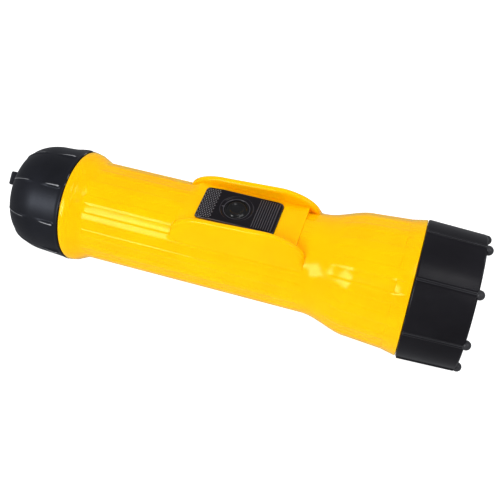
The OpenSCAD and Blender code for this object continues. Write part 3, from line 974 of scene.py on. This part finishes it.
def make_button(paint):
    """Round button: a raised rim, a ring groove and a low domed middle."""
    rise = ((0, -0.3), (1.0, -0.33), (1.6, -0.42), (2.0, -0.55), (2.35, -0.5), (2.7, -0.22),
            (3.0, -0.04), (3.25, 0), (3.5, -0.06), (3.8, -0.3), (4.1, -0.58), (4.35, -0.76),
            (BUTTON_R, -0.8))
    outline = [(r, BUTTON_TOP + d) for r, d in rise]
    outline += [(BUTTON_R, BUTTON_BOTTOM + 0.2), (BUTTON_R - 0.2, BUTTON_BOTTOM),
                (0, BUTTON_BOTTOM)]
    bm = bmesh.new()
    add_loft(bm, button_rings(outline))
    button = finish_mesh("signal_button_cap", bm, paint["button_black"], "button")
    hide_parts("signal_button")


DOME_R = 4.4
DOME_RISE = 0.85
DOME_T = 0.2
DOME_LIP = 0.35


def make_dome(paint):
    """Snap dome under the button, built at rest; the real one flattens as the button goes down."""

    def crown(radius, rise):
        return [(radius * t, KEEL_FLOOR + rise * (1 - t * t)) for t in spread(1, 0, 12)]

    outline = crown(DOME_R, DOME_RISE) + crown(DOME_R - DOME_LIP, DOME_RISE - DOME_T)[::-1]
    bm = bmesh.new()
    add_loft(bm, button_rings(outline))
    dome = finish_mesh("snap_dome", bm, paint["spring_steel"], "switch")
    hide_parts("button_dome")
    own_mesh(dome)


# ---- scene ----

CAMERA_AT = (139.06, -198.06, 254.30)
CAMERA_FORWARD = (-0.1941, 0.6002, -0.7759)
CAMERA_UP = (-0.2387, 0.7383, 0.6308)
CAMERA_LENS = 57.6
CAMERA_SENSOR = 36.0


def aim(thing, position, forward, up):
    """Puts a camera or a light at a place and turns its -Z forward."""
    ahead = Vector(forward).normalized()
    right = ahead.cross(Vector(up)).normalized()
    true_up = right.cross(ahead)
    turn = Matrix((right, true_up, -ahead)).transposed().to_4x4()
    thing.matrix_world = Matrix.Translation(position) @ turn


def make_camera():
    camera = bpy.data.objects.new("camera", bpy.data.cameras.new("camera"))
    camera.data.lens = CAMERA_LENS
    camera.data.sensor_width = CAMERA_SENSOR
    camera.data.clip_start = 0.01
    bpy.context.scene.collection.objects.link(camera)
    aim(camera, at(*CAMERA_AT), CAMERA_FORWARD, CAMERA_UP)
    bpy.context.scene.camera = camera


def add_softbox(name, direction, distance, width, height, power, mirrored):
    """A soft rectangular light that looks at the middle of the object; mirrored: gloss shows it."""
    light = bpy.data.objects.new(name, bpy.data.lights.new(name, "AREA"))
    light.data.shape = "RECTANGLE"
    light.data.size, light.data.size_y = width, height
    light.data.energy = power
    light.visible_glossy = mirrored
    bpy.context.scene.collection.objects.link(light)
    middle = at(HEAD_X / 2, 0, 0)
    away = Vector(direction).normalized()
    aim(light, middle + away * distance, -away, (0, 0, 1))


# name, direction, distance, width and height in metres, watts, and whether gloss shows it
SOFTBOXES = (
    ("key", (-0.43, -0.72, 0.55), 1.1, 0.45, 0.5, 6.0, True),
    ("top", (0.2, -0.15, 0.97), 1.1, 0.35, 0.3, 1.2, True),
    ("side", (0.62, -0.22, 0.7), 1.1, 0.7, 0.35, 2.2, True),
    ("fill", (0.2, 0.55, 1.0), 1.4, 1.2, 0.8, 9, False),
)
WORLD_COLOUR = (0.9, 0.92, 0.95, 1)
WORLD_STRENGTH = 0.42
VIEW_GAMMA = 0.8
VIEW_EXPOSURE = 0.06


def make_lights():
    for softbox in SOFTBOXES:
        add_softbox(*softbox)
    world = bpy.data.worlds.new("studio")
    world.use_nodes = True
    background = world.node_tree.nodes["Background"]
    background.inputs["Color"].default_value = WORLD_COLOUR
    background.inputs["Strength"].default_value = WORLD_STRENGTH
    bpy.context.scene.world = world
    view = bpy.context.scene.view_settings
    view.view_transform = "Standard"
    view.gamma = VIEW_GAMMA
    view.exposure = VIEW_EXPOSURE


FLOOR_FLAT = 1.6
FLOOR_REACH = 3.6
FLOOR_RISE = 1.1
FLOOR_POINTS_ROUND = 96
PAPER_GLOW = 0.84


def make_floor():
    """Pale paper that lies flat under the object and curves up far away on every side."""
    outline = [(FLOOR_FLAT * t, 0) for t in spread(0.02, 1, 6)]
    outline += [(mix(FLOOR_FLAT, FLOOR_REACH, t), FLOOR_RISE * t * t) for t in spread(0.1, 1, 14)]
    count = FLOOR_POINTS_ROUND
    angles = [2 * math.pi * k / count for k in range(count)]
    bm = bmesh.new()
    rows = [[bm.verts.new((r * math.cos(a), r * math.sin(a), z)) for a in angles]
            for r, z in outline]
    bm.faces.new(rows[0])
    for a, b in zip(rows, rows[1:]):
        for k in range(count):
            bm.faces.new((a[k], b[k], b[(k + 1) % count], a[(k + 1) % count]))
    floor = add_object("floor", bm)
    floor.data.shade_smooth()
    floor.data.materials.append(surface(
        "floor_paper", (0.34, 0.34, 0.34), (0.36, 0.36, 0.36), (0.8, 0.9), patch=3, bump=0.0,
        Specular_IOR_Level=0.0, Emission_Color=(1, 1, 1, 1), Emission_Strength=PAPER_GLOW))
    floor.visible_glossy = False


def paint_nodes(paint):
    """Each CAD node that stays gets the material of its slot in the record."""
    for row in frame["record"]["subparts"]:
        node = frame["nodes"][row["node"]]
        node.data.materials.clear()
        node.data.materials.append(paint[row["material_slot"]])


paint = make_materials()
make_camera()
make_lights()
make_floor()
paint_nodes(paint)
make_tube(paint)
make_ring(paint)
make_lens(paint)
make_reflector(paint)
make_cap(paint)
make_plate(paint)
make_button(paint)
make_dome(paint)
